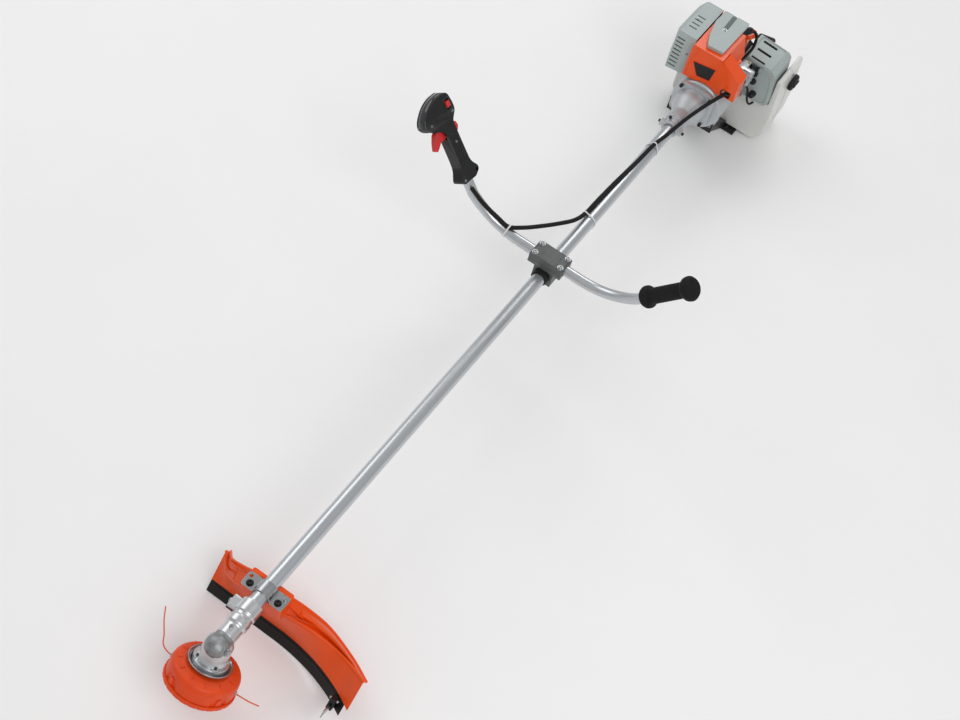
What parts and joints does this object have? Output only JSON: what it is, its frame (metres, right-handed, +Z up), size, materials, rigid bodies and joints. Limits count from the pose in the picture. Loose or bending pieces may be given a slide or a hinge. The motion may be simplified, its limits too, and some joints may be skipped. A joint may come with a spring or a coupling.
{
  "type": "string trimmer",
  "caption": "Petrol string trimmer: rear engine with shroud, tank and foot, long straight tube, bicycle handlebar with throttle grip, angled gearbox, bump-feed line head and guard.",
  "frame": {"origin": "middle of the support foot's underside, on the ground", "axes": "+Y along the drive tube from the engine to the line head, +Z up, +X to the operator's right"},
  "size_m": [0.6242, 1.9795, 0.4208],
  "materials": {
    "bare_tube": "satin drawn tube",
    "steel": "machined",
    "cast_alloy": "cast and blasted",
    "dark_cast": "textured dark grey paint",
    "orange_shell": "moulded, glossy",
    "head_shell": "moulded, satin",
    "grey_shell": "moulded, satin",
    "black_plastic": "moulded, fine texture",
    "rubber": "matt",
    "red_plastic": "moulded",
    "tank": "translucent white",
    "nylon": "drawn line",
    "foam": "open cell foam"
  },
  "bodies": {
    "root": {"drive_tube": "bare_tube", "pinion_bearing": "steel", "bearing_upper": "steel", "bearing_lower": "steel", "line_cutter_blade": "steel", "guard_bracket": "steel", "muffler": "steel", "gearbox_housing": "cast_alloy", "clutch_housing": "cast_alloy", "crankcase": "cast_alloy", "fan_housing": "cast_alloy", "cylinder": "cast_alloy", "carburettor": "cast_alloy", "handlebar_clamp_lower": "dark_cast", "handlebar_clamp_upper": "dark_cast", "guard": "orange_shell", "cylinder_shroud": "orange_shell", "top_cover": "grey_shell", "muffler_guard": "grey_shell", "air_filter_cover": "grey_shell", "bush_rear": "black_plastic", "bush_front": "black_plastic", "starter_cover": "black_plastic", "support_foot": "black_plastic", "spark_plug_boot": "black_plastic", "guard_skirt": "rubber", "rubber_sleeve": "rubber", "throttle_cable": "rubber", "fuel_tank": "tank", "air_filter_element": "foam"},
    "head": {"spindle": "steel", "thrust_cup": "steel", "head_cover": "head_shell", "head_base": "head_shell", "feed_spring": "steel", "line_a": "nylon", "line_b": "nylon"},
    "knob": {"bump_knob": "black_plastic"},
    "spool": {"spool": "black_plastic", "line_winding": "nylon"},
    "shaft": {"drive_shaft": "steel"},
    "crank": {"crankshaft": "steel", "flywheel": "cast_alloy", "clutch_shoe_right": "cast_alloy", "clutch_shoe_left": "cast_alloy"},
    "piston": {"piston": "cast_alloy"},
    "handlebar": {"handlebar_tube": "bare_tube", "left_grip": "rubber", "throttle_grip": "black_plastic"},
    "trigger": {"throttle_trigger": "red_plastic"},
    "lockout": {"trigger_lockout": "red_plastic"},
    "switch": {"stop_switch": "red_plastic"},
    "throttle_lever": {"throttle_lever": "steel"},
    "choke_lever": {"choke_lever": "black_plastic"},
    "primer": {"primer_bulb": "rubber"},
    "fuel_cap": {"fuel_cap": "black_plastic"},
    "starter_reel": {"starter_reel": "grey_shell"},
    "starter_grip": {"starter_grip": "black_plastic"}
  },
  "joints": [
    {"name": "head_spin", "type": "hinge", "parent": "root", "child": "head", "pos_m": [0, 1.77, 0.156], "axis": [0, -0.5592, 0.829], "continuous": true},
    {"name": "shaft_spin", "type": "hinge", "parent": "root", "child": "shaft", "pos_m": [0, 0.781, 0.156], "axis": [0, 1, 0], "continuous": true},
    {"name": "bump_feed", "type": "slide", "parent": "head", "child": "knob", "axis": [0, -0.5592, 0.829], "range_m": [0, 0.003], "stiffness_N_per_m": 1500, "springref_m": -0.004, "deforming": ["feed_spring"]},
    {"name": "spool_turn", "type": "hinge", "parent": "knob", "child": "spool", "pos_m": [0, 1.77, 0.156], "axis": [0, -0.5592, 0.829], "continuous": true},
    {"name": "crank_spin", "type": "hinge", "parent": "root", "child": "crank", "pos_m": [0, 0.081, 0.156], "axis": [0, 1, 0], "continuous": true},
    {"name": "piston_stroke", "type": "slide", "parent": "root", "child": "piston", "axis": [0, 0, 1], "range_m": [-0.013, 0.013]},
    {"name": "handlebar_tilt", "type": "hinge", "parent": "root", "child": "handlebar", "pos_m": [0, 0.781, 0.187], "axis": [1, 0, 0], "range_deg": [-12, 12], "deforming": ["throttle_cable"]},
    {"name": "trigger_pull", "type": "hinge", "parent": "handlebar", "child": "trigger", "pos_m": [0.28593, 0.807, 0.36593], "axis": [-0.7987, 0, 0.6017], "range_deg": [0, 15], "stiffness_Nm_per_rad": 0.25, "springref_deg": -22.92},
    {"name": "lockout_press", "type": "hinge", "parent": "handlebar", "child": "lockout", "pos_m": [0.28112, 0.774, 0.35954], "axis": [0.7987, 0, -0.6017], "range_deg": [0, 8], "stiffness_Nm_per_rad": 0.15, "springref_deg": -17.19},
    {"name": "stop_slide", "type": "slide", "parent": "handlebar", "child": "switch", "axis": [0.6017, 0, 0.7987], "range_m": [-0.004, 0.004]},
    {"name": "throttle_lever_turn", "type": "hinge", "parent": "root", "child": "throttle_lever", "pos_m": [-0.052, 0.063, 0.228], "axis": [0, 0, 1], "range_deg": [-36, 0]},
    {"name": "choke_turn", "type": "hinge", "parent": "root", "child": "choke_lever", "pos_m": [-0.076, 0.027, 0.2], "axis": [0, 1, 0], "range_deg": [0, 60]},
    {"name": "primer_press", "type": "slide", "parent": "root", "child": "primer", "axis": [0, -1, 0], "range_m": [0, 0.003], "stiffness_N_per_m": 500, "springref_m": -0.002},
    {"name": "fuel_cap_turn", "type": "hinge", "parent": "root", "child": "fuel_cap", "pos_m": [-0.147, -0.066, 0.156], "axis": [-1, 0, 0], "continuous": true},
    {"name": "starter_reel_turn", "type": "hinge", "parent": "root", "child": "starter_reel", "pos_m": [0, -0.029, 0.156], "axis": [0, 1, 0], "continuous": true},
    {"name": "starter_pull", "type": "slide", "parent": "root", "child": "starter_grip", "axis": [0, -0.7071, 0.7071], "range_m": [0, 0.45], "stiffness_N_per_m": 8, "springref_m": -0.25}
  ],
  "couplings": [
    {"joint": "shaft_spin", "follows": "head_spin", "ratio": -1.3},
    {"joint": "throttle_lever_turn", "follows": "trigger_pull", "ratio": -2.4}
  ]
}
